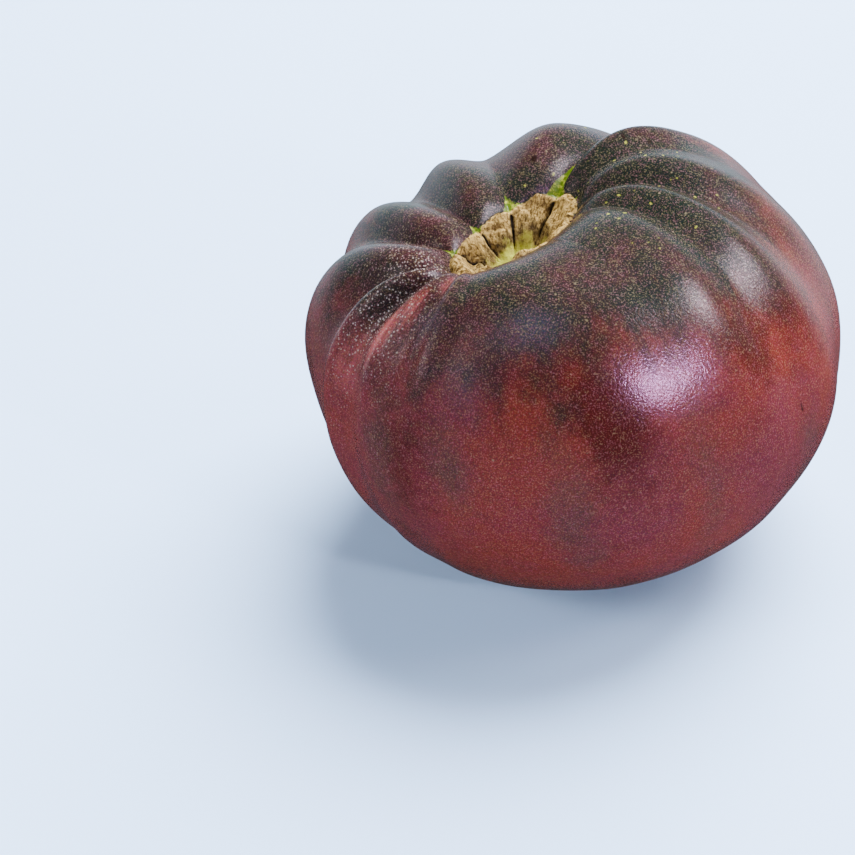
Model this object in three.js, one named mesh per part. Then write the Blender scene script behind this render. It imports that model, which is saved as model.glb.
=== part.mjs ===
// A whole ribbed heirloom tomato, grown as one body and resting on its blossom end.
// Millimetres, with +Z up. The origin is the middle of its footprint, on the surface below it.

import * as THREE from "three";
import { mergeVertices } from "three/addons/utils/BufferGeometryUtils.js";

const { degToRad, euclideanModulo, lerp, smoothstep } = THREE.MathUtils;

// Half-section from the middle of the stem scar, over the shoulder, down to the blossom end.
// Each control point has its reach from the axis and its height from the fruit's middle, and
// how far a crease of full depth pulls the skin in and down there.
const section = [
  { reach: 0, height: 22, creaseIn: 0, creaseDown: 0 },
  { reach: 4, height: 22, creaseIn: 0, creaseDown: 0 },
  { reach: 7, height: 24.5, creaseIn: 0, creaseDown: 0 },
  { reach: 8.5, height: 28, creaseIn: 0, creaseDown: 1 },
  { reach: 12.5, height: 33.5, creaseIn: 0.5, creaseDown: 4 },
  { reach: 23, height: 36, creaseIn: 1.5, creaseDown: 5.5 },
  { reach: 35.5, height: 31.5, creaseIn: 3, creaseDown: 4.5 },
  { reach: 45, height: 17, creaseIn: 3, creaseDown: 1.5 },
  { reach: 48.5, height: 0, creaseIn: 2, creaseDown: 0 },
  { reach: 43.5, height: -17.5, creaseIn: 1, creaseDown: 0 },
  { reach: 32.5, height: -30, creaseIn: 0.5, creaseDown: 0 },
  { reach: 17, height: -34.5, creaseIn: 0, creaseDown: 0 },
  { reach: 6, height: -35.5, creaseIn: 0, creaseDown: 0 },
  { reach: 0, height: -35.5, creaseIn: 0, creaseDown: 0 },
];

// The lobes, anticlockwise seen from above. crease is the azimuth in degrees of the furrow that
// starts the lobe, depth is that furrow's share of the full crease, and turn is how far it swings
// round by the time it reaches the scar. reach and height say how far the lobe swells out and up
// against the section.
const lobes = [
  { crease: -62, depth: 0.12, turn: 16, reach: 1, height: 1 },
  { crease: -35, depth: 0.34, turn: 27, reach: 1, height: 1 },
  { crease: -8, depth: 0.42, turn: 20, reach: 1.01, height: 1.01 },
  { crease: 22, depth: 0.22, turn: 12, reach: 1.01, height: 1.02 },
  { crease: 50, depth: 1, turn: 17, reach: 0.95, height: 0.95 },
  { crease: 106, depth: 0.6, turn: 9, reach: 0.94, height: 0.85 },
  { crease: 134, depth: 0.8, turn: 12, reach: 0.98, height: 0.79 },
  { crease: 162, depth: 0.8, turn: 14, reach: 1, height: 0.84 },
  { crease: 199, depth: 0.85, turn: 18, reach: 1.02, height: 0.9 },
  { crease: 214, depth: 0.5, turn: 20, reach: 1.02, height: 0.9 },
  { crease: 229, depth: 0.24, turn: 18, reach: 1.03, height: 0.92 },
  { crease: 243, depth: 0.12, turn: 14, reach: 1.01, height: 0.97 },
];

// The corky stem scar is stretched along one azimuth and lies off the fruit's axis.
const scarAzimuth = 49;
const scarLong = 1.75;
const scarWide = 0.77;
const scarOffset = new THREE.Vector2(-9.3, -4.6);

// Cracks that split the cork into lumps, by azimuth, and the relief they leave.
const corkCracks = [-8, 50, 106, 134, 162, 222, 262, 308];
const corkLumpHeight = 2.6;

// How pointed the creases are beside the scar and how soft they are on the belly, as the power
// of the arch that each lobe makes.
const archAtScar = 0.8;
const archOnBelly = 2;

// The stem end leans towards -X, and the fruit's weight presses a small flat spot under it.
const lean = 5.5;
const flatSpotDepth = 1.4;
const flatSpotRound = 0.6;

// Where along the section, counted in control points, each change starts and ends.
const corkLumpsRise = { start: 0.8, end: 1.4 };
const corkLumpsEnd = { start: 2.4, end: 3.1 };
const archSoftens = { start: 3.5, end: 7.5 };
const turnFades = { start: 3, end: 7 };
const scarStretchFades = { start: 2.5, end: 6 };
const scarOffsetFades = { start: 3, end: 9 };

// The heights above the fruit's middle between which a lobe's own height comes in.
const lobeHeightGrows = { start: -5, end: 28 };

// Facets
const ringsPerSpan = 3.4;
const degreesPerStation = 4.5;
const fewestStationsInLobe = 7;

const spans = section.length - 1;
const creases = lobes.map((lobe) => lobe.crease);
const creaseDepths = lobes.map((lobe) => lobe.depth);
const creaseTurns = lobes.map((lobe) => lobe.turn);
const lobeReaches = lobes.map((lobe) => lobe.reach);
const lobeHeights = lobes.map((lobe) => lobe.height);
const lobeMiddles = creases.map((crease, index) => (crease + stopAfter(creases, index)) / 2);

// 0 before a change starts, 1 after it ends, and smooth in between.
function between(value, change) {
  return smoothstep(value, change.start, change.end);
}

function stopAfter(stops, index) {
  return index + 1 < stops.length ? stops[index + 1] : stops[0] + 360;
}

// Finds the two stops that an azimuth lies between, and its share of the way from one to the next.
function placeRound(stops, azimuth) {
  const turned = stops[0] + euclideanModulo(azimuth - stops[0], 360);
  let index = stops.length - 1;
  while (turned < stops[index]) {
    index -= 1;
  }
  const share = (turned - stops[index]) / (stopAfter(stops, index) - stops[index]);
  return { index, next: (index + 1) % stops.length, share };
}

function valueRound(stops, values, azimuth) {
  const { index, next, share } = placeRound(stops, azimuth);
  return lerp(values[index], values[next], smoothstep(share, 0, 1));
}

// 1 at the bottom of a crease, falling to 0 on the crest between two of them.
function creaseRound(stops, azimuth, archPower) {
  const { share } = placeRound(stops, azimuth);
  return 1 - Math.abs(Math.sin(Math.PI * share)) ** archPower;
}

// A uniform cubic B-spline over the section. Its ends are mirrored, so it starts and stops there.
function sectionAt(along) {
  const first = Math.min(Math.floor(along), spans - 1);
  const t = along - first;
  const weights = [
    (1 - t) ** 3 / 6,
    (3 * t ** 3 - 6 * t ** 2 + 4) / 6,
    (-3 * t ** 3 + 3 * t ** 2 + 3 * t + 1) / 6,
    t ** 3 / 6,
  ];
  const sum = { reach: 0, height: 0, creaseIn: 0, creaseDown: 0 };
  weights.forEach((weight, step) => {
    const index = first + step - 1;
    const inside = section[THREE.MathUtils.clamp(index, 0, spans)];
    const mirrored = index < 0 ? section[1] : index > spans ? section[spans - 1] : null;
    for (const key of Object.keys(sum)) {
      sum[key] += weight * (mirrored ? 2 * inside[key] - mirrored[key] : inside[key]);
    }
  });
  return sum;
}

// Lumps of cork in a ring, split by cracks, round the hollow where the stem broke away.
function corkRelief(along, azimuth) {
  const lump = corkLumpHeight * (1 - creaseRound(corkCracks, azimuth, archAtScar));
  const ring = between(along, corkLumpsRise) * (1 - between(along, corkLumpsEnd));
  return lump * ring;
}

function skinPoint(along, azimuth) {
  const here = sectionAt(along);
  const archPower = lerp(archAtScar, archOnBelly, between(along, archSoftens));
  const crease = valueRound(creases, creaseDepths, azimuth) * creaseRound(creases, azimuth, archPower);
  const reach = here.reach - here.creaseIn * crease;
  const level = here.height - here.creaseDown * crease;

  const onLobe = between(along, scarStretchFades);
  const lobeReach = valueRound(lobeMiddles, lobeReaches, azimuth);
  const lobeHeight = valueRound(lobeMiddles, lobeHeights, azimuth);
  const upper = between(level, lobeHeightGrows);
  const height = level * (1 + (lobeHeight - 1) * onLobe * upper) + corkRelief(along, azimuth);

  const turn = valueRound(creases, creaseTurns, azimuth) * (1 - between(along, turnFades));
  const fromScar = degToRad(azimuth + turn - scarAzimuth);
  const offset = 1 - between(along, scarOffsetFades);
  const flat = new THREE.Vector2(
    reach * Math.cos(fromScar) * lerp(scarLong, lobeReach, onLobe),
    reach * Math.sin(fromScar) * lerp(scarWide, lobeReach, onLobe),
  );
  flat.rotateAround(new THREE.Vector2(), degToRad(scarAzimuth));
  flat.addScaledVector(scarOffset, offset);
  return new THREE.Vector3(flat.x, flat.y, height);
}

// Azimuths of the mesh's meridians: every crease has one, and each lobe is split evenly.
function stationAzimuths() {
  return creases.flatMap((crease, index) => {
    const width = stopAfter(creases, index) - crease;
    const count = Math.max(fewestStationsInLobe, Math.round(width / degreesPerStation));
    return Array.from({ length: count }, (unused, step) => crease + (width * step) / count);
  });
}

// Presses a flat spot into the lowest skin, with a rounded edge, and stands the fruit on it.
function settle(geometry) {
  geometry.computeBoundingBox();
  const { min, max } = geometry.boundingBox;
  geometry.translate(-(min.x + max.x) / 2, -(min.y + max.y) / 2, -min.z - flatSpotDepth);
  const position = geometry.attributes.position;
  for (let index = 0; index < position.count; index += 1) {
    const height = position.getZ(index);
    if (height < flatSpotRound) {
      position.setZ(index, Math.max(0, height + flatSpotRound) ** 2 / (4 * flatSpotRound));
    }
  }
}

function tomatoGeometry() {
  const azimuths = stationAzimuths();
  const rings = Math.round(spans * ringsPerSpan);
  const grid = new THREE.SphereGeometry(1, azimuths.length, rings);
  grid.deleteAttribute("normal");
  grid.deleteAttribute("uv");
  const position = grid.attributes.position;
  for (let index = 0; index < position.count; index += 1) {
    const ring = Math.floor(index / (azimuths.length + 1));
    const station = index % (azimuths.length + 1);
    const point = skinPoint((spans * ring) / rings, azimuths[station % azimuths.length]);
    position.setXYZ(index, point.x, point.y, point.z);
  }
  const skin = mergeVertices(grid);
  skin.rotateY(degToRad(-lean));
  settle(skin);
  skin.computeVertexNormals();
  return skin;
}

const skinMaterial = new THREE.MeshStandardMaterial({ color: 0x5f2a2c, roughness: 0.35, metalness: 0 });

const tomato = new THREE.Mesh(tomatoGeometry(), skinMaterial);
tomato.name = "tomato";

const fruit = new THREE.Group();
fruit.add(tomato);

export default fruit;
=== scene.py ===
"""Dresses the ribbed heirloom tomato: its lobed skin with the corky stem scar, and a plain pale stage."""

import math

import bmesh
import bpy
import numpy as np
from bpy.props import FloatProperty, FloatVectorProperty, IntProperty, PointerProperty
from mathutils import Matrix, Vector, noise


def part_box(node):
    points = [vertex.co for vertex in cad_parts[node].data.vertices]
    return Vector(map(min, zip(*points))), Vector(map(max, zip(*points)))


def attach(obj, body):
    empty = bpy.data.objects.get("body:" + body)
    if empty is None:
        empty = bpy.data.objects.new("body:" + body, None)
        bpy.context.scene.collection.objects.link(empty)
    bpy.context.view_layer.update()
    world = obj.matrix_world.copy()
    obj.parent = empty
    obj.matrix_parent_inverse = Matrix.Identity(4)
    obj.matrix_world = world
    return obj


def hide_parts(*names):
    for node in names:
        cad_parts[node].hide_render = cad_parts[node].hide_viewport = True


bl_info = {
    "name": "Ribbed Heirloom Tomato",
    "version": (1, 0, 0),
    "blender": (4, 5, 0),
    "location": "View3D > Sidebar > Tomato",
    "description": "Grows a ribbed heirloom tomato with a corky stem scar and sets up its stage",
    "category": "Add Mesh",
}

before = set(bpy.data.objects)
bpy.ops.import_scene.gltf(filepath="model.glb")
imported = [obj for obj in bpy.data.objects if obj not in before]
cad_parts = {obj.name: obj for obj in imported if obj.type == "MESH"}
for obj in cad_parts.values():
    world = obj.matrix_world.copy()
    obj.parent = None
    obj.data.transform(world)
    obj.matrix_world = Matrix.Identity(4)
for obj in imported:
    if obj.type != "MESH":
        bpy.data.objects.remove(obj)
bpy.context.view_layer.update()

# Half-section from the middle of the stem scar, over the shoulder, down to the blossom end, in metres.
# Each row is a control point: reach from the axis, height from the fruit's middle, and how far a
# crease of full depth pulls the skin in and down there. Places along the skin are counted in rows.
SECTION = np.array([
    (0.0, 0.022, 0.0, 0.0),
    (0.004, 0.022, 0.0, 0.0),
    (0.007, 0.0245, 0.0, 0.0),
    (0.0085, 0.028, 0.0, 0.001),
    (0.0125, 0.0335, 0.0005, 0.004),
    (0.023, 0.036, 0.0015, 0.0055),
    (0.0355, 0.0315, 0.003, 0.0045),
    (0.045, 0.017, 0.003, 0.0015),
    (0.0485, 0.0, 0.002, 0.0),
    (0.0435, -0.0175, 0.001, 0.0),
    (0.0325, -0.03, 0.0005, 0.0),
    (0.017, -0.0345, 0.0, 0.0),
    (0.006, -0.0355, 0.0, 0.0),
    (0.0, -0.0355, 0.0, 0.0),
])
SPANS = len(SECTION) - 1

# The lobes, anticlockwise seen from above. Each row has the azimuth in degrees of the furrow that
# starts the lobe, that furrow's share of the full crease, the degrees it swings round by the time it
# reaches the scar, how far the lobe swells out and up, and how far along the furrow stays green.
LOBES = np.array([
    (-62, 0.12, 16, 1.0, 1.0, 2.9),
    (-35, 0.34, 27, 1.0, 1.0, 3.0),
    (-8, 0.42, 20, 1.01, 1.01, 3.1),
    (22, 0.22, 12, 1.01, 1.02, 3.3),
    (50, 1.0, 17, 0.95, 0.95, 5.8),
    (106, 0.6, 9, 0.94, 0.85, 4.2),
    (134, 0.8, 12, 0.98, 0.79, 4.0),
    (162, 0.8, 14, 1.0, 0.84, 4.0),
    (199, 0.85, 18, 1.02, 0.9, 3.9),
    (214, 0.5, 20, 1.02, 0.9, 3.5),
    (229, 0.24, 18, 1.03, 0.92, 3.3),
    (243, 0.12, 14, 1.01, 0.97, 3.0),
])
CREASES, CREASE_DEPTHS, CREASE_TURNS, LOBE_REACHES, LOBE_HEIGHTS, GREEN_ENDS = LOBES.T

# The stem scar's stretch along and across its azimuth, and its place off the fruit's axis.
SCAR_LONG = 1.75
SCAR_WIDE = 0.77
SCAR_OFFSET = (-0.0093, -0.0046)

# Azimuths of the cracks that split the cork into lumps.
CORK_CRACKS = np.array([-8, 50, 106, 134, 162, 222, 262, 308])

# The power of the arch between two furrows: pointed furrows at the scar, soft ones on the belly,
# narrow cracks between the lumps of cork and narrow wedges of green beside the scar.
ARCH_AT_SCAR = 0.8
ARCH_ON_BELLY = 2.0
ARCH_OF_CORK = 0.4
ARCH_OF_GREEN = 0.3

# Where along the section each change starts and ends.
CORK_LUMPS_RISE = (0.8, 1.4)
CORK_LUMPS_END = (2.4, 3.1)
ARCH_SOFTENS = (3.5, 7.5)
TURN_FADES = (3, 7)
SCAR_STRETCH_FADES = (2.5, 6)
SCAR_OFFSET_FADES = (3, 9)
WAVES_START = (3.5, 6)

# Where along the section the cork ends and how softly its relief does, and where the green starts.
CORK_EDGE = 2.95
CORK_RELIEF_FADES = (CORK_EDGE - 0.2, CORK_EDGE + 0.2)
GREEN_START = 2.8

# The heights above the fruit's middle, in metres, between which a lobe's own height comes in.
LOBE_HEIGHT_GROWS = (-0.005, 0.028)

# The flat spot that the fruit's weight presses under it, the rounding of its edge, and the heights
# between which the skin's waves come in above the floor, in metres.
FLAT_SPOT_DEPTH = 0.0014
FLAT_SPOT_ROUND = 0.0006
WAVES_CLEAR_THE_FLOOR = (0.0, 0.006)

# Relief that is rough at random: cells to the metre and seed.
KNOBS = (330, 5)
COARSE_CORK_GRAIN = (900, 7)
FINE_CORK_GRAIN = (2000, 9)
FINE_CORK_GRAIN_SHARE = 0.5
WAVES = (90, 11)

# How many rings of the finished skin lie in each span of the section: most at the scar.
RINGS_IN_SPAN = (10, 16, 24, 22, 22, 22, 22, 20, 18, 18, 18, 14, 12)

# Soft patches of colour. Each row has an azimuth in degrees and a place along the section, the
# patch's half width and half length in the same units, and its strength.
# Blushes: partly the lighter red of some lobes, partly a painted highlight along the left ridges and the
# right front.
BLUSHES_AND_HIGHLIGHTS = (
    (124, 4.5, 15, 0.9, 0.15),
    (150, 4.6, 12, 0.8, 0.15),
    (229, 4.6, 5, 0.6, 0.5),
    (223, 5.5, 4, 0.6, 0.65),
    (219, 6.1, 4, 0.6, 0.75),
    (212, 6.7, 5, 0.6, 0.6),
    (310, 6.2, 12, 0.4, 0.2),
    (344, 6.6, 10, 0.8, 0.2),
)
# Deep red: partly the belly's own darkest red, partly painted shade where the skin mirrors no light
# beside the highlights.
DEEP_REDS_AND_SHADE = (
    (280, 6.9, 9, 0.7, 1.0),
    (318, 6.6, 9, 0.6, 1.0),
    (336, 6.5, 10, 0.8, 1.0),
    (232, 7.6, 9, 1.0, 0.5),
    (20, 7.6, 10, 1.2, 0.6),
    (88, 7.8, 16, 0.8, 0.5),
    (166, 8.3, 18, 0.8, 0.4),
)
BROWN_RUNS = (
    (268, 8.0, 7, 1.2, 0.6),
    (297, 7.8, 5, 1.3, 0.6),
    (243, 7.4, 6, 0.9, 0.5),
    (225, 7.6, 5, 1.2, 0.6),
    (328, 8.4, 5, 1.0, 0.5),
    (350, 6.0, 20, 1.0, 0.9),
    (2, 6.9, 14, 0.8, 0.9),
    (42, 7.2, 12, 0.9, 0.5),
    (75, 7.0, 9, 0.8, 0.4),
    (119, 7.3, 14, 0.7, 0.5),
    (148, 8.1, 5, 1.2, 0.35),
    (192, 7.2, 11, 0.9, 0.5),
)
# Painted sheen: purple-grey patches that stand in for pale light mirrored by the waxy skin.
PAINTED_SHEENS = (
    (262, 5.85, 14, 0.4, 0.55),
    (246, 6.6, 9, 0.5, 0.4),
    (232, 5.6, 8, 0.7, 0.35),
    (60, 5.6, 14, 0.6, 0.35),
    (176, 5.6, 10, 0.6, 0.35),
)
# Painted glints: pale specks on the left lobes that stand in for light caught by fine grains of the skin.
SPARKLES = (
    (200, 4.3, 24, 1.2, 1.0),
    (214, 5.8, 16, 1.4, 0.9),
    (172, 4.6, 16, 1.0, 0.6),
    (140, 4.5, 16, 0.9, 0.35),
)

# The yellow-green specks lie towards one azimuth, within a range of its cosine, and end on the way down.
SPECKLED_AZIMUTH = 15
SPECKLED_TOWARDS_IT = (-0.1, 0.7)
SPECKLED_ENDS = (4.6, 6.4)

# Small marks: azimuth in degrees, place along the section, length and width in metres, the angle of
# the length from the meridian in degrees, rise in metres, and how dark it is.
MARKS = (
    (82, 4.09, 0.0020, 0.0014, 0, 0.0005, 0.9),
    (33, 4.74, 0.0042, 0.0009, 70, -0.0001, 0.8),
    (27, 5.08, 0.0050, 0.0010, 60, -0.0001, 0.7),
    (335, 3.66, 0.0030, 0.0008, 20, -0.0003, 1.0),
    (140, 6.2, 0.0030, 0.0008, 30, -0.0001, 0.6),
    (326, 7.87, 0.0050, 0.0005, 10, -0.0001, 0.8),
)
MARK_RISES, MARK_DARKNESSES = np.array(MARKS)[:, 5:].T

# A small step down the section and round it, to find how the skin runs at a mark.
MARK_PROBE = 0.05

# Noise patterns of the finish: cells to the metre, octaves, roughness and distortion.
RAGGED = (130, 4, 0.65)
WINE_CLOUDS = (48, 4, 0.6, 0.4)
BLOOD_CLOUDS = (70, 3, 0.55)
PLUM_CLOUDS = (60, 4, 0.6, 0.5)
FINE_GRAIN = (3800, 1.5, 0.6)
FRECKLE_TINTS = (700, 2, 0.5)
PEEL = (1900, 2, 0.7)
FRAYED = (1300, 3, 0.6)
TISSUE_CLOUDS = (1100, 3, 0.7)
CORK_GRAIN = (1100, 5, 0.75, 0.3)
CORK_STAINS = (420, 4, 0.7, 0.6)
CORK_FRAY = (500, 3, 0.6)
CRACK_AND_SHADE_FRAY = (800, 3, 0.6)

# Noise patterns that run with the meridians: the stretch of the azimuth's cosine and sine and of the
# place along the section, and then as above.
SHOULDER_FRINGE = ((2.6, 2.6, 7.0), 3.0, 5, 0.65, 0.3)
BLUSH_AND_HIGHLIGHT_STREAKS = ((60, 60, 8), 1.0, 3, 0.6)
CORK_FIBRES = ((30, 30, 60), 1.0, 3, 0.6)

# How far the noise, and for the plum the speckled attribute, shifts what it is added to.
RAGGED_WIDTH = 1.3
SHOULDER_FRINGE_WIDTH = 2.6
BLUSH_AND_HIGHLIGHT_STREAKS_WIDTH = 1.6
CORK_FIBRES_WIDTH = 0.8
FRAYED_WIDTH = 0.5
CORK_FRAYED_SHARE = 0.8
CRACK_AND_SHADE_FRAY_WIDTH = 0.35
SPECKLED_TURNS_OLIVE = -0.12

# How each colour comes in: the value at which it starts and the value at which it is full, and where
# they aren't 0 and 1, its share of the colour at both.
WINE_COMES = (0.38, 0.62)
DEEP_RED_AND_SHADE_COMES = (0.05, 0.7, 0, 0.95)
STRAY_BLOOD_COMES = (0.56, 0.74, 0, 0.55)
BROWN_COMES = (0.1, 0.8, 0, 0.5)
PLUM_COMES = (0.38, 0.62)
BELLY_COMES = (5.7, 7.3)
BLUSH_AND_HIGHLIGHT_COMES = (0.1, 1.0, 0, 0.8)
PAINTED_SHEEN_COMES = (0.05, 0.8, 0, 0.7)
GOLD_COMES = (0.40, 0.60)
GREEN_COMES = (-0.04, 0.10)
LIME_COMES = (0.46, 0.68)
MARK_COMES = (0.25, 0.7, 0, 0.9)
CORK_COMES = (-0.03, 0.05)
TAN_COMES = (0.38, 0.60)
STAINS_COME = (0.46, 0.66, 0, 0.75)
# The lumps' feet and the cracks get painted shade, near-black where shade falls in these recesses.
LUMP_FEET_SHADE_COME = (1.4, 1.7, 0, 0.6)
LUMP_FEET_SHADE_GO = (1.8, 2.3, 1, 0)
TISSUE_GOES = (1.35, 1.7, 0.9, 0)
CRACK_AND_SHADE_COMES = (0.36, 0.66)

# The light part of the fine grain, and its strength from one place along the section to another.
LIGHT_GRAIN_COMES = (0.50, 0.70)
LIGHT_GRAIN_STRENGTH = (4.5, 8.0, 0.22, 0.20)

# Freckles: cells to the metre, and how far from its middle a freckle is full and how far it reaches.
SMALL_FRECKLES = (2100, 0.14, 0.42)
WIDE_FRECKLES = (400, 0.05, 0.12)
LIME_SPECKS = (460, 0.07, 0.18)

# The share of cells that have a freckle, from one place along the section, or one value of the speckled
# attribute, to another.
SMALL_FRECKLE_CHANCE = (4.0, 7.6, 0.45, 0.10)
WIDE_FRECKLE_CHANCE = (4.2, 7.6, 0.65, 0.10)
LIME_SPECK_CHANCE = (0.0, 1.0, 0.0, 0.75)
SPARKLE_CHANCE = 0.5

# How strong the freckles are.
SMALL_FRECKLE_STRENGTH = 0.18
SPARKLE_STRENGTH = 0.45
WIDE_FRECKLE_STRENGTH = 0.26
LIME_SPECK_STRENGTH = 0.7

# How far noise moves the freckles off their cells' places: cells to the metre, and metres.
FRECKLES_SHAKEN = (1800, 0.0003)
SPECKS_SHAKEN = (900, 0.0009)

# The surface: roughness and waxy coat, and the heights in metres of the fine relief.
SKIN_ROUGHNESS = 0.20
CORK_ROUGHNESS = 0.95
SKIN_COAT = 0.10
PEEL_HEIGHT = 0.00006
CORK_GRAIN_HEIGHT = 0.0008
CORK_GRAIN_STRENGTH = 0.9

# Lights: name, direction from the fruit, distance, width and height in metres, watts that light it,
# watts that it mirrors, and the colour that it mirrors.
LIGHTS = (
    ("key", (0.64, -0.66, 0.40), 0.9, 0.045, 0.14, 5.0, 20.0, (1.0, 0.46, 1.0)),
    ("side", (0.73, -0.04, 0.68), 1.0, 0.34, 0.40, 4.0, 54.0, (0.97, 0.86, 1.0)),
    ("left", (-0.854, -0.286, 0.431), 1.0, 0.40, 0.40, 10.0, 12.0, (1.0, 0.80, 0.86)),
    ("top", (0.30, 0.50, 0.80), 1.2, 1.2, 1.2, 125.0, 0.0, (1.0, 1.0, 1.0)),
)
FILL_COLOUR = (0.80, 0.88, 1.0)

# The world is bright round the horizon behind the fruit, and dim everywhere else. The ranges are of
# the view direction's Y behind it, and of its Z overhead and below.
WORLD_COLOUR = (0.66, 0.84, 1.0)
WORLD_DIM = 0.10
WORLD_BRIGHT = 1.5
WORLD_BRIGHTENS_BEHIND = (0.1, 0.8)
WORLD_DIMS_OVERHEAD = (0.10, 0.65)
WORLD_DIMS_BELOW = (-0.60, -0.10)

FLOOR_HALF_WIDTH = 4.0

# The picture: its width in pixels, where the fruit's middle is in it, and its scale at the fruit.
IMAGE_SIZE = 855
FRUIT_PIXEL = (574, 354)
PIXELS_PER_METRE = 5650


def between(value, change):
    """0 before a change starts, 1 after it ends, and smooth in between."""
    share = np.clip((value - change[0]) / (change[1] - change[0]), 0, 1)
    return share * share * (3 - 2 * share)


def place_round(stops, azimuth):
    """The stops on either side of each azimuth, and its share of the way from one to the next."""
    turned = stops[0] + np.mod(azimuth - stops[0], 360)
    index = np.searchsorted(stops, turned, side="right") - 1
    closed = np.append(stops, stops[0] + 360)
    share = (turned - closed[index]) / (closed[index + 1] - closed[index])
    return index, (index + 1) % len(stops), share


def value_round(stops, values, azimuth):
    """Values given at stops round the stem, blended smoothly from each to the next."""
    index, following, share = place_round(stops, azimuth)
    return values[index] + (values[following] - values[index]) * between(share, (0, 1))


def crease_round(stops, azimuth, arch_power):
    """1 at the bottom of a crease, falling to 0 on the crest between two of them."""
    share = place_round(stops, azimuth)[2]
    return 1 - np.abs(np.sin(np.pi * share)) ** arch_power


def section_at(along):
    """A uniform cubic B-spline over the section, mirrored at its ends so that it stops on the axis."""
    padded = np.vstack([2 * SECTION[0] - SECTION[1], SECTION, 2 * SECTION[-1] - SECTION[-2]])
    first = np.minimum(np.floor(along).astype(int), SPANS - 1)
    t = along - first
    weights = (
        (1 - t) ** 3 / 6,
        (3 * t**3 - 6 * t**2 + 4) / 6,
        (-3 * t**3 + 3 * t**2 + 3 * t + 1) / 6,
        t**3 / 6,
    )
    return sum(weight[:, None] * padded[first + step] for step, weight in enumerate(weights)).T


def crease_share(along, azimuth, shape):
    """How deep in a crease each place is, from 0 on a crest to the crease's own depth."""
    arch = ARCH_AT_SCAR + (ARCH_ON_BELLY - ARCH_AT_SCAR) * between(along, ARCH_SOFTENS)
    depth = value_round(CREASES, CREASE_DEPTHS, azimuth) * shape.crease_depth
    return depth * crease_round(CREASES, azimuth, arch)


def cork_ring(along):
    """1 on the ring of cork lumps, 0 inside and outside it."""
    return between(along, CORK_LUMPS_RISE) * (1 - between(along, CORK_LUMPS_END))


def skin_points(along, azimuth, shape):
    """Points of the fruit's skin."""
    reach, level, crease_in, crease_down = section_at(along)
    crease = crease_share(along, azimuth, shape)
    reach = reach - crease_in * crease
    level = level - crease_down * crease

    on_lobe = between(along, SCAR_STRETCH_FADES)
    middles = (CREASES + np.append(CREASES[1:], CREASES[0] + 360)) / 2
    lobe_reach = value_round(middles, LOBE_REACHES, azimuth)
    lobe_height = value_round(middles, LOBE_HEIGHTS, azimuth)
    upper = between(level, LOBE_HEIGHT_GROWS)

    lump = shape.cork_lump_height * (1 - crease_round(CORK_CRACKS, azimuth, ARCH_OF_CORK))
    height = level * (1 + (lobe_height - 1) * on_lobe * upper) + lump * cork_ring(along)

    turn = value_round(CREASES, CREASE_TURNS, azimuth) * (1 - between(along, TURN_FADES))
    from_scar = np.radians(azimuth + turn) - shape.scar_azimuth
    flat_long = reach * np.cos(from_scar) * (SCAR_LONG + (lobe_reach - SCAR_LONG) * on_lobe)
    flat_wide = reach * np.sin(from_scar) * (SCAR_WIDE + (lobe_reach - SCAR_WIDE) * on_lobe)
    offset = 1 - between(along, SCAR_OFFSET_FADES)
    cosine, sine = math.cos(shape.scar_azimuth), math.sin(shape.scar_azimuth)
    x = flat_long * cosine - flat_wide * sine + SCAR_OFFSET[0] * offset
    y = flat_long * sine + flat_wide * cosine + SCAR_OFFSET[1] * offset
    return np.stack([x, y, height], axis=1)


def settle(points, shape):
    """Leans the fruit, presses its flat spot and stands it where the frame's own solid stands."""
    cosine, sine = math.cos(-shape.lean), math.sin(-shape.lean)
    x, y, z = points.T
    leaning = np.stack([x * cosine + z * sine, y, z * cosine - x * sine], axis=1)
    low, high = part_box("tomato")
    middle = (leaning.min(axis=0) + leaning.max(axis=0)) / 2
    leaning[:, 0] += (low.x + high.x) / 2 - middle[0]
    leaning[:, 1] += (low.y + high.y) / 2 - middle[1]
    leaning[:, 2] -= leaning[:, 2].min() + FLAT_SPOT_DEPTH
    z = leaning[:, 2]
    pressed = np.maximum(z + FLAT_SPOT_ROUND, 0) ** 2 / (4 * FLAT_SPOT_ROUND)
    leaning[:, 2] = np.where(z < FLAT_SPOT_ROUND, pressed, z)
    return leaning


def rough(points, pattern):
    """Seeded noise between -1 and 1 at each point."""
    cells_to_the_metre, seed = pattern
    offset = Vector((seed, seed * 1.7, seed * 2.3))
    return np.array([noise.noise(Vector(point) * cells_to_the_metre + offset) for point in points])


def patch_share(patches, along, azimuth):
    """How much of a colour's patches covers each place, from 0 to 1."""
    cover = np.zeros(len(along))
    for patch_azimuth, patch_along, half_width, half_length, strength in patches:
        across = (np.mod(azimuth - patch_azimuth + 180, 360) - 180) / half_width
        lengthwise = (along - patch_along) / half_length
        cover = np.maximum(cover, strength * np.exp(-(across**2) - lengthwise**2))
    return cover


def mark_shares(points, shape):
    """How much each small mark covers each point, one row per mark."""
    shares = []
    for azimuth, along, length, width, angle, _rise, _dark in MARKS:
        around = np.array([azimuth, azimuth, azimuth + MARK_PROBE])
        down = np.array([along, along + MARK_PROBE, along])
        centre, below, beside = skin_points(down, around, shape)
        down_axis = (below - centre) / np.linalg.norm(below - centre)
        side_axis = (beside - centre) / np.linalg.norm(beside - centre)
        turn = math.radians(angle)
        long_axis = math.cos(turn) * down_axis + math.sin(turn) * side_axis
        offset = points - centre
        far_along = offset @ long_axis
        far_off = np.sqrt(np.maximum((offset**2).sum(axis=1) - far_along**2, 0))
        shares.append(np.exp(-((far_along / (length / 2)) ** 2) - (far_off / (width / 2)) ** 2))
    return np.array(shares)


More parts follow.
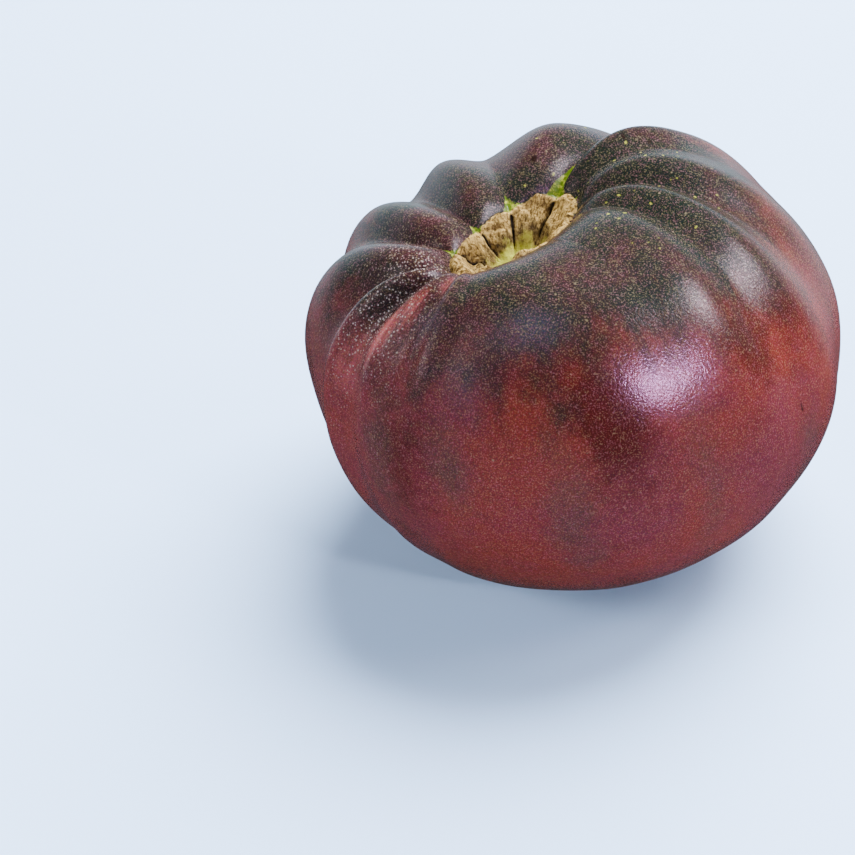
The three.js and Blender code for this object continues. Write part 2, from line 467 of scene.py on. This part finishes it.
def start_sphere(stations):
    """A unit sphere with closed poles, and the place along the section and azimuth of its vertices."""
    rings = sum(RINGS_IN_SPAN)
    sphere = bmesh.new()
    bmesh.ops.create_uvsphere(sphere, u_segments=stations, v_segments=rings, radius=1)
    unit = np.array([vertex.co for vertex in sphere.verts])
    ring = np.arccos(np.clip(unit[:, 2], -1, 1)) / math.pi * rings
    along = np.interp(ring, np.append(0, np.cumsum(RINGS_IN_SPAN)), np.arange(SPANS + 1))
    azimuth = np.degrees(np.arctan2(unit[:, 1], unit[:, 0]))
    return sphere, unit, along, azimuth


def with_relief(points, marks, unit, along, shape):
    """Settles the skin's points and gives them knobs and grain on the cork, and waves and marks."""
    knobs = shape.cork_knobs * rough(points, KNOBS)
    fine_grain = FINE_CORK_GRAIN_SHARE * rough(points, FINE_CORK_GRAIN)
    grain = shape.cork_grain * (rough(points, COARSE_CORK_GRAIN) + fine_grain)
    points = settle(points, shape)
    points[:, 2] += (knobs + grain) * (1 - between(along, CORK_RELIEF_FADES))

    waves = shape.skin_waviness * rough(points, WAVES) * between(along, WAVES_START)
    waves = waves * between(points[:, 2], WAVES_CLEAR_THE_FLOOR) + MARK_RISES @ marks
    return points + unit * waves[:, None]


def skin_mesh(sphere, points):
    """Moves the sphere's vertices to the points and makes a smooth mesh of it."""
    for vertex, point in zip(sphere.verts, points):
        vertex.co = point
    bmesh.ops.recalc_face_normals(sphere, faces=sphere.faces)
    for face in sphere.faces:
        face.smooth = True
    mesh = bpy.data.meshes.new("tomato_fruit")
    sphere.to_mesh(mesh)
    sphere.free()
    return mesh


def finish_values(along, azimuth, marks):
    """What the finish reads at each vertex, by the name of the attribute."""
    wedge = crease_round(CREASES, azimuth, ARCH_OF_GREEN)
    green_end = GREEN_START + (value_round(CREASES, GREEN_ENDS, azimuth) - GREEN_START) * wedge
    towards = between(np.cos(np.radians(azimuth - SPECKLED_AZIMUTH)), SPECKLED_TOWARDS_IT)
    return {
        "along": along,
        "crack_and_shade": crease_round(CORK_CRACKS, azimuth, ARCH_OF_CORK) * cork_ring(along),
        "cork_depth": CORK_EDGE - along,
        "green_depth": green_end - along,
        "mark": (MARK_DARKNESSES[:, None] * marks).max(axis=0),
        "blush_and_highlight": patch_share(BLUSHES_AND_HIGHLIGHTS, along, azimuth),
        "deep_red_and_shade": patch_share(DEEP_REDS_AND_SHADE, along, azimuth),
        "brown_run": patch_share(BROWN_RUNS, along, azimuth),
        "painted_sheen": patch_share(PAINTED_SHEENS, along, azimuth),
        "sparkle": patch_share(SPARKLES, along, azimuth),
        "speckled": towards * (1 - between(along, SPECKLED_ENDS)),
    }


def add_attribute(mesh, name, kind, field, value):
    made = mesh.attributes.new(name, kind, "POINT")
    made.data.foreach_set(field, value.astype(np.float32).ravel())


class Graph:
    """Adds shader nodes to a tree and joins them, so that a finish reads as a formula."""

    def __init__(self, tree):
        self.tree = tree
        self.tree.nodes.clear()

    def add(self, kind, **settings):
        node = self.tree.nodes.new(kind)
        for name, value in settings.items():
            setattr(node, name, value)
        return node

    def put(self, socket, value):
        """Links an output to a socket, or sets the socket's own value."""
        if isinstance(value, bpy.types.NodeSocket):
            self.tree.links.new(value, socket)
            return
        if hasattr(socket.default_value, "__len__"):
            size = len(socket.default_value)
            value = (value,) * size if not hasattr(value, "__len__") else tuple(value)
            value = (*value, 1.0)[:size]
        socket.default_value = value

    def fill(self, node, **sockets):
        for name, value in sockets.items():
            self.put(node.inputs[name.replace("_", " ")], value)
        return node

    def attribute(self, name, output="Fac"):
        return self.add("ShaderNodeAttribute", attribute_name=name).outputs[output]

    def coordinates(self, output):
        return self.add("ShaderNodeTexCoord").outputs[output]

    def math(self, operation, first, second=0.0):
        node = self.add("ShaderNodeMath", operation=operation)
        self.put(node.inputs[0], first)
        self.put(node.inputs[1], second)
        return node.outputs[0]

    def total(self, first, second, share=1.0):
        return self.math("ADD", first, self.math("MULTIPLY", second, share))

    def centred(self, value, width):
        """Turns noise round one half into noise round zero, of a given width."""
        return self.math("MULTIPLY", self.math("SUBTRACT", value, 0.5), width)

    def times(self, first, second):
        return self.math("MULTIPLY", first, second)

    def ramp(self, value, start, end, low=0.0, high=1.0):
        """A smooth step of value from start to end, between low and high."""
        node = self.add("ShaderNodeMapRange", interpolation_type="SMOOTHSTEP")
        self.fill(node, Value=value, From_Min=start, From_Max=end, To_Min=low, To_Max=high)
        return node.outputs["Result"]

    def mix(self, share, first, second, blend="MIX"):
        node = self.add("ShaderNodeMix", data_type="RGBA", blend_type=blend)
        colours = [socket for socket in node.inputs if socket.type == "RGBA"]
        self.put(node.inputs["Factor"], share)
        self.put(colours[0], first)
        self.put(colours[1], second)
        return next(socket for socket in node.outputs if socket.type == "RGBA")

    def stretched(self, place, scale):
        node = self.add("ShaderNodeMapping")
        return self.fill(node, Vector=place, Scale=scale).outputs[0]

    def noise_node(self, place, scale, detail, roughness=0.5, distortion=0.0):
        node = self.add("ShaderNodeTexNoise")
        return self.fill(
            node, Vector=place, Scale=scale, Detail=detail, Roughness=roughness, Distortion=distortion,
        )

    def noise(self, place, scale, detail, roughness, distortion=0.0):
        return self.noise_node(place, scale, detail, roughness, distortion).outputs["Fac"]

    def meridian_noise(self, stretch, *pattern):
        return self.noise(self.stretched(self.attribute("meridian", "Vector"), stretch), *pattern)

    def shaken(self, place, scale, width):
        """Moves each place by noise, so that what is drawn there loses its regular shape."""
        moved = self.add("ShaderNodeVectorMath", operation="MULTIPLY_ADD")
        self.put(moved.inputs[0], self.noise_node(place, scale, 1.0).outputs["Color"])
        self.put(moved.inputs[1], width)
        self.put(moved.inputs[2], place)
        return moved.outputs[0]

    def specks(self, place, chance, scale, start, end):
        """Scattered round specks: a share of all cells has one, fading from start to end outward."""
        node = self.add("ShaderNodeTexVoronoi")
        self.fill(node, Vector=place, Scale=scale)
        split = self.add("ShaderNodeSeparateColor")
        self.put(split.inputs[0], node.outputs["Color"])
        chosen = self.math("LESS_THAN", split.outputs[0], chance)
        return self.times(self.ramp(node.outputs["Distance"], end, start), chosen)

    def bump(self, height, strength, distance, below=None):
        node = self.add("ShaderNodeBump")
        self.fill(node, Height=height, Strength=strength, Distance=distance)
        if below is not None:
            self.put(node.inputs["Normal"], below)
        return node.outputs[0]

    def finish(self, kind, output_kind, **sockets):
        shader = self.fill(self.add(kind), **sockets)
        output = self.add(output_kind)
        self.tree.links.new(shader.outputs[0], output.inputs[0])


def colour(name, description, default):
    return FloatVectorProperty(
        name=name, description=description, subtype="COLOR", size=3, min=0, max=1, default=default,
    )


class TomatoShape(bpy.types.PropertyGroup):
    """Sizes of the fruit."""

    crease_depth: FloatProperty(
        name="Crease depth", description="Depth of the furrows between the lobes",
        default=1.0, min=0, max=1.5, subtype="FACTOR",
    )
    scar_azimuth: FloatProperty(
        name="Scar azimuth", description="Direction in which the stem scar is long",
        default=math.radians(49), subtype="ANGLE",
    )
    lean: FloatProperty(
        name="Lean", description="Lean of the stem end towards -X",
        default=math.radians(5.5), subtype="ANGLE",
    )
    cork_lump_height: FloatProperty(
        name="Cork lump height", description="Height of the cork lumps over their cracks",
        default=0.0026, unit="LENGTH",
    )
    cork_knobs: FloatProperty(
        name="Cork knobs", description="Uneven knobs on the cork",
        default=0.0012, unit="LENGTH",
    )
    cork_grain: FloatProperty(
        name="Cork grain", description="Roughness of the cork's surface",
        default=0.0004, unit="LENGTH",
    )
    skin_waviness: FloatProperty(
        name="Skin waviness", description="Shallow dents and swellings of the skin",
        default=0.0002, unit="LENGTH",
    )
    stations: IntProperty(
        name="Meridians", description="Faces round the fruit", default=400, min=96, max=410,
    )


class SkinFinish(bpy.types.PropertyGroup):
    """Colours of the skin."""

    brick: colour("Belly red", "Brick red of the ripe belly", (0.128, 0.015, 0.009))
    wine: colour("Belly wine", "Wine red that clouds the belly", (0.108, 0.013, 0.014))
    blood: colour("Deep red", "Darkest red of the belly", (0.052, 0.004, 0.002))
    # Partly a painted highlight: this lighter pink also stands in for light on the left ridges.
    ridge_pink_and_highlight: colour("Blush", "Lighter rusty pink of some ridges", (0.34, 0.060, 0.050))
    umber: colour("Belly brown", "Brown that runs down the belly", (0.045, 0.025, 0.017))
    olive: colour("Shoulder olive", "Dark olive brown of the shoulders", (0.0080, 0.0088, 0.0060))
    plum: colour("Shoulder plum", "Plum brown of the shoulders", (0.024, 0.008, 0.0075))
    # Painted sheen: this purple-grey stands in for light mirrored by the wax, not for a colour of the
    # skin.
    painted_sheen: colour("Haze", "Purple-grey wax left in patches", (0.044, 0.030, 0.040))
    dark: colour("Mark dark", "Dark brown of the small marks", (0.008, 0.003, 0.002))
    gold: colour("Freckle gold", "Fine golden freckles", (0.30, 0.22, 0.11))
    rose: colour("Freckle rose", "Fine rosy freckles", (0.34, 0.15, 0.15))
    # Painted glints: pale specks that stand in for light caught on the left lobes.
    painted_glint: colour("Freckle frost", "Pale freckles on the left lobes", (0.50, 0.38, 0.32))
    leaf: colour("Crease green", "Green left in the creases beside the scar", (0.060, 0.095, 0.003))
    lime: colour("Crease yellow", "Yellow-green of specks and crease edges", (0.30, 0.28, 0.03))


class CorkFinish(bpy.types.PropertyGroup):
    """Colours of the stem scar."""

    light: colour("Cork light", "Dry tan of the cork lumps", (0.53, 0.32, 0.09))
    dark: colour("Cork brown", "Brown of the cork's grain", (0.10, 0.05, 0.010))
    # Partly painted shade: near-black in the cracks and at the lumps' feet, where shade falls.
    crack_and_shade: colour("Crack", "Dark brown of the cracks and the lumps' feet", (0.008, 0.004, 0.001))
    tissue: colour("Tissue", "Yellow-green tissue in the middle", (0.38, 0.36, 0.035))


class StageSetup(bpy.types.PropertyGroup):
    """Floor, lights and camera."""

    floor: colour("Floor", "Pale floor", (0.52, 0.72, 1.0))
    floor_glow: FloatProperty(
        name="Floor glow", description="Light that the floor gives off by itself", default=0.02, min=0,
    )
    elevation: FloatProperty(
        name="Elevation", description="Camera height above the horizon",
        default=math.radians(36), subtype="ANGLE",
    )
    distance: FloatProperty(
        name="Distance", description="From the camera to the fruit's middle",
        default=0.59, unit="LENGTH",
    )
    aim_height: FloatProperty(
        name="Aim height", description="Height of the fruit's middle above the floor",
        default=0.035, unit="LENGTH",
    )


def belly_colour(g, skin, place, ragged):
    """Clouded red of the ripe belly with brown patches, and deep red patches that are partly painted
    shade where the skin mirrors no light.
    """
    belly = g.mix(g.ramp(g.noise(place, *WINE_CLOUDS), *WINE_COMES), skin.brick, skin.wine)
    # Deep red patches, partly painted shade where no reflection falls.
    deep = g.ramp(g.total(g.attribute("deep_red_and_shade"), ragged), *DEEP_RED_AND_SHADE_COMES)
    belly = g.mix(deep, belly, skin.blood)
    stray = g.ramp(g.noise(place, *BLOOD_CLOUDS), *STRAY_BLOOD_COMES)
    belly = g.mix(stray, belly, skin.blood)
    run = g.ramp(g.total(g.attribute("brown_run"), ragged), *BROWN_COMES)
    return g.mix(run, belly, skin.umber)


def shoulder_colour(g, skin, place):
    """Olive clouded with plum, more olive where the skin is speckled."""
    plummy = g.total(g.noise(place, *PLUM_CLOUDS), g.attribute("speckled"), SPECKLED_TURNS_OLIVE)
    return g.mix(g.ramp(plummy, *PLUM_COMES), skin.olive, skin.plum)


def skin_colour(g, skin, place, along):
    """Shoulders that run raggedly into the belly, with blushes that are partly painted highlight, and a
    purple-grey painted sheen in patches.
    """
    ragged = g.centred(g.noise(place, *RAGGED), RAGGED_WIDTH)
    fringe = g.centred(g.meridian_noise(*SHOULDER_FRINGE), SHOULDER_FRINGE_WIDTH)
    belly_share = g.ramp(g.total(along, fringe), *BELLY_COMES)
    result = g.mix(belly_share, shoulder_colour(g, skin, place), belly_colour(g, skin, place, ragged))

    uneven = g.total(1.0, ragged)
    streaks = g.centred(g.meridian_noise(*BLUSH_AND_HIGHLIGHT_STREAKS), BLUSH_AND_HIGHLIGHT_STREAKS_WIDTH)
    # Blushes, partly a painted highlight on the ridges.
    blush_and_highlight = g.times(g.attribute("blush_and_highlight"), g.total(uneven, streaks))
    result = g.mix(g.ramp(blush_and_highlight, *BLUSH_AND_HIGHLIGHT_COMES), result, skin.ridge_pink_and_highlight)
    # Painted sheen: purple-grey patches where the skin would mirror pale light.
    painted_sheen = g.times(g.attribute("painted_sheen"), uneven)
    return g.mix(g.ramp(painted_sheen, *PAINTED_SHEEN_COMES), result, skin.painted_sheen)


def freckled(g, skin, place, along, base):
    """Fine grain of many tints, small rosy and golden freckles with pale painted glints on the left
    lobes, and larger yellow-green specks.
    """
    grain = g.noise_node(place, *FINE_GRAIN)
    result = g.mix(1.0, base, grain.outputs["Color"], "OVERLAY")
    tint = g.mix(g.ramp(g.noise(place, *FRECKLE_TINTS), *GOLD_COMES), skin.rose, skin.gold)
    light_grain = g.ramp(grain.outputs["Fac"], *LIGHT_GRAIN_COMES)
    result = g.mix(g.times(light_grain, g.ramp(along, *LIGHT_GRAIN_STRENGTH)), result, tint)

    loose = g.shaken(place, *FRECKLES_SHAKEN)
    # The sparkle patches add painted glints as paler, denser freckles.
    sparkle = g.attribute("sparkle")
    chance = g.total(g.ramp(along, *SMALL_FRECKLE_CHANCE), sparkle, SPARKLE_CHANCE)
    small = g.specks(loose, chance, *SMALL_FRECKLES)
    strength = g.total(SMALL_FRECKLE_STRENGTH, sparkle, SPARKLE_STRENGTH)
    result = g.mix(g.times(small, strength), result, g.mix(sparkle, tint, skin.painted_glint))
    wide = g.specks(loose, g.ramp(along, *WIDE_FRECKLE_CHANCE), *WIDE_FRECKLES)
    result = g.mix(g.times(wide, WIDE_FRECKLE_STRENGTH), result, skin.gold)

    chance = g.ramp(g.attribute("speckled"), *LIME_SPECK_CHANCE)
    lime = g.specks(g.shaken(place, *SPECKS_SHAKEN), chance, *LIME_SPECKS)
    return g.mix(g.times(lime, LIME_SPECK_STRENGTH), result, skin.lime)


def cork_colour(g, cork, place, along, grain):
    """Dry tan lumps with brown grain, dark cracks and lump feet deepened with painted shade, and
    yellow-green tissue in the middle.
    """
    fibres = g.centred(g.meridian_noise(*CORK_FIBRES), CORK_FIBRES_WIDTH)
    result = g.mix(g.ramp(g.total(grain, fibres), *TAN_COMES), cork.dark, cork.light)
    result = g.mix(g.ramp(g.noise(place, *CORK_STAINS), *STAINS_COME), result, cork.dark)
    frayed_along = g.total(along, g.noise(place, *CORK_FRAY))
    # Painted shade in a dark band at the lumps' feet.
    feet = g.times(g.ramp(frayed_along, *LUMP_FEET_SHADE_COME), g.ramp(frayed_along, *LUMP_FEET_SHADE_GO))
    result = g.mix(feet, result, cork.crack_and_shade)
    result = g.mix(g.ramp(frayed_along, *TISSUE_GOES), result, cork.tissue)
    # Dark cracks, deepened with painted shade.
    crack_and_shade = g.total(g.attribute("crack_and_shade"), g.centred(g.noise(place, *CRACK_AND_SHADE_FRAY), CRACK_AND_SHADE_FRAY_WIDTH))
    return g.mix(g.ramp(crack_and_shade, *CRACK_AND_SHADE_COMES), result, cork.crack_and_shade)


def make_skin_material(skin, cork):
    """Waxy skin that runs from olive shoulders to a red belly, with green creases and a cork scar."""
    material = bpy.data.materials.new("tomato_skin")
    material.use_nodes = True
    g = Graph(material.node_tree)
    place = g.coordinates("Object")
    along = g.attribute("along")
    result = freckled(g, skin, place, along, skin_colour(g, skin, place, along))

    frayed = g.centred(g.noise(place, *FRAYED), FRAYED_WIDTH)
    green = g.ramp(g.total(g.attribute("green_depth"), frayed), *GREEN_COMES)
    tissue = g.mix(g.ramp(g.noise(place, *TISSUE_CLOUDS), *LIME_COMES), skin.leaf, skin.lime)
    result = g.mix(green, result, tissue)
    result = g.mix(g.ramp(g.attribute("mark"), *MARK_COMES), result, skin.dark)

    cork_grain = g.noise(place, *CORK_GRAIN)
    cork_share = g.ramp(g.total(g.attribute("cork_depth"), frayed, CORK_FRAYED_SHARE), *CORK_COMES)
    result = g.mix(cork_share, result, cork_colour(g, cork, place, along, cork_grain))
    peel = g.bump(g.noise(place, *PEEL), 1.0, PEEL_HEIGHT)
    relief = g.bump(cork_grain, g.times(cork_share, CORK_GRAIN_STRENGTH), CORK_GRAIN_HEIGHT, peel)
    g.finish(
        "ShaderNodeBsdfPrincipled",
        "ShaderNodeOutputMaterial",
        Base_Color=result,
        Roughness=g.ramp(cork_share, 0, 1, SKIN_ROUGHNESS, CORK_ROUGHNESS),
        Normal=relief,
        IOR=1.4,
        Specular_IOR_Level=0.16,
        Coat_Weight=g.ramp(cork_share, 0, 1, SKIN_COAT, 0),
        Coat_Roughness=0.3,
        Coat_IOR=1.4,
        Coat_Normal=peel,
    )
    return material


class TOMATO_OT_grow(bpy.types.Operator):
    """Grow the fruit's lobed skin with its stem scar"""

    bl_idname = "tomato.grow"
    bl_label = "Grow Tomato"

    def execute(self, context):
        scene = context.scene
        shape = scene.tomato_shape
        sphere, unit, along, azimuth = start_sphere(shape.stations)
        points = skin_points(along, azimuth, shape)
        marks = mark_shares(points, shape)
        mesh = skin_mesh(sphere, with_relief(points, marks, unit, along, shape))

        for name, value in finish_values(along, azimuth, marks).items():
            add_attribute(mesh, name, "FLOAT", "value", value)
        radians = np.radians(azimuth)
        meridian = np.stack([np.cos(radians), np.sin(radians), along / SPANS], axis=1)
        add_attribute(mesh, "meridian", "FLOAT_VECTOR", "vector", meridian)
        mesh.materials.append(make_skin_material(scene.tomato_skin, scene.tomato_cork))

        fruit = bpy.data.objects.new("tomato_fruit", mesh)
        scene.collection.objects.link(fruit)
        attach(fruit, "root")
        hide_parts("tomato")
        return {"FINISHED"}


def add_floor(collection, setup):
    plane = bmesh.new()
    bmesh.ops.create_grid(plane, x_segments=1, y_segments=1, size=FLOOR_HALF_WIDTH)
    mesh = bpy.data.meshes.new("floor")
    plane.to_mesh(mesh)
    plane.free()
    floor = bpy.data.objects.new("floor", mesh)
    collection.objects.link(floor)
    material = bpy.data.materials.new("pale_floor")
    material.use_nodes = True
    Graph(material.node_tree).finish(
        "ShaderNodeBsdfPrincipled",
        "ShaderNodeOutputMaterial",
        Base_Color=setup.floor,
        Roughness=0.6,
        Emission_Color=setup.floor,
        Emission_Strength=setup.floor_glow,
    )
    mesh.materials.append(material)
    floor.visible_glossy = False


def add_light(collection, name, place, turn, size, power, tint):
    data = bpy.data.lights.new(name, "AREA")
    data.shape = "ELLIPSE"
    data.size, data.size_y = size
    data.energy = power
    data.color = tint
    light = bpy.data.objects.new(name, data)
    light.location = place
    light.rotation_euler = turn
    collection.objects.link(light)
    return light


def add_lights(collection, target):
    """Adds each light as one that lights the fruit and, where it has one, one that is only mirrored."""
    for name, direction, distance, width, height, fill_power, glint_power, tint in LIGHTS:
        towards = Vector(direction).normalized()
        place = target + towards * distance
        turn = towards.to_track_quat("Z", "Y").to_euler()
        size = (width, height)
        fill = add_light(collection, name + "_fill", place, turn, size, fill_power, FILL_COLOUR)
        fill.visible_glossy = False
        if glint_power > 0:
            glint = add_light(collection, name + "_glint", place, turn, size, glint_power, tint)
            glint.visible_diffuse = False


def make_world():
    world = bpy.data.worlds.new("studio")
    world.use_nodes = True
    g = Graph(world.node_tree)
    split = g.add("ShaderNodeSeparateXYZ")
    g.put(split.inputs[0], g.coordinates("Generated"))
    behind = g.ramp(split.outputs["Y"], *WORLD_BRIGHTENS_BEHIND)
    low = g.ramp(split.outputs["Z"], *WORLD_DIMS_OVERHEAD, 1, 0)
    band = g.times(low, g.ramp(split.outputs["Z"], *WORLD_DIMS_BELOW))
    strength = g.ramp(g.times(behind, band), 0, 1, WORLD_DIM, WORLD_BRIGHT)
    g.finish("ShaderNodeBackground", "ShaderNodeOutputWorld", Color=WORLD_COLOUR, Strength=strength)
    return world


def add_camera(collection, setup, target):
    ahead = Vector((0, math.cos(setup.elevation), -math.sin(setup.elevation)))
    upward = Vector((0, math.sin(setup.elevation), math.cos(setup.elevation)))
    across = (FRUIT_PIXEL[0] - IMAGE_SIZE / 2) / PIXELS_PER_METRE
    down = (FRUIT_PIXEL[1] - IMAGE_SIZE / 2) / PIXELS_PER_METRE
    aim = target - Vector((across, 0, 0)) + upward * down
    data = bpy.data.cameras.new("camera")
    data.lens = data.sensor_width * PIXELS_PER_METRE * setup.distance / IMAGE_SIZE
    camera = bpy.data.objects.new("camera", data)
    camera.location = aim - ahead * setup.distance
    camera.rotation_euler = ahead.to_track_quat("-Z", "Y").to_euler()
    collection.objects.link(camera)
    return camera


class TOMATO_OT_stage(bpy.types.Operator):
    """Set up the pale floor, the soft lights and the camera"""

    bl_idname = "tomato.stage"
    bl_label = "Set Up Stage"

    def execute(self, context):
        setup = context.scene.tomato_stage
        collection = context.scene.collection
        target = Vector((0, 0, setup.aim_height))
        add_floor(collection, setup)
        add_lights(collection, target)
        context.scene.world = make_world()
        context.scene.camera = add_camera(collection, setup, target)
        return {"FINISHED"}


class TOMATO_PT_panel(bpy.types.Panel):
    """Lists the fruit's sizes, colours and steps"""

    bl_label = "Tomato"
    bl_idname = "TOMATO_PT_panel"
    bl_space_type = "VIEW_3D"
    bl_region_type = "UI"
    bl_category = "Tomato"

    def draw(self, context):
        for name in PROPERTIES:
            group = getattr(context.scene, name)
            for prop in group.__annotations__:
                self.layout.prop(group, prop)
        for operator in OPERATORS:
            self.layout.operator(operator.bl_idname)


PROPERTIES = {
    "tomato_shape": TomatoShape,
    "tomato_skin": SkinFinish,
    "tomato_cork": CorkFinish,
    "tomato_stage": StageSetup,
}
OPERATORS = (TOMATO_OT_grow, TOMATO_OT_stage)


def register():
    for group in PROPERTIES.values():
        bpy.utils.register_class(group)
    for operator in OPERATORS:
        bpy.utils.register_class(operator)
    bpy.utils.register_class(TOMATO_PT_panel)
    for name, group in PROPERTIES.items():
        setattr(bpy.types.Scene, name, PointerProperty(type=group))


def unregister():
    for name in PROPERTIES:
        delattr(bpy.types.Scene, name)
    bpy.utils.unregister_class(TOMATO_PT_panel)
    for operator in reversed(OPERATORS):
        bpy.utils.unregister_class(operator)
    for group in reversed(PROPERTIES.values()):
        bpy.utils.unregister_class(group)


def main():
    register()
    bpy.ops.tomato.grow()
    bpy.ops.tomato.stage()


if __name__ == "__main__":
    main()
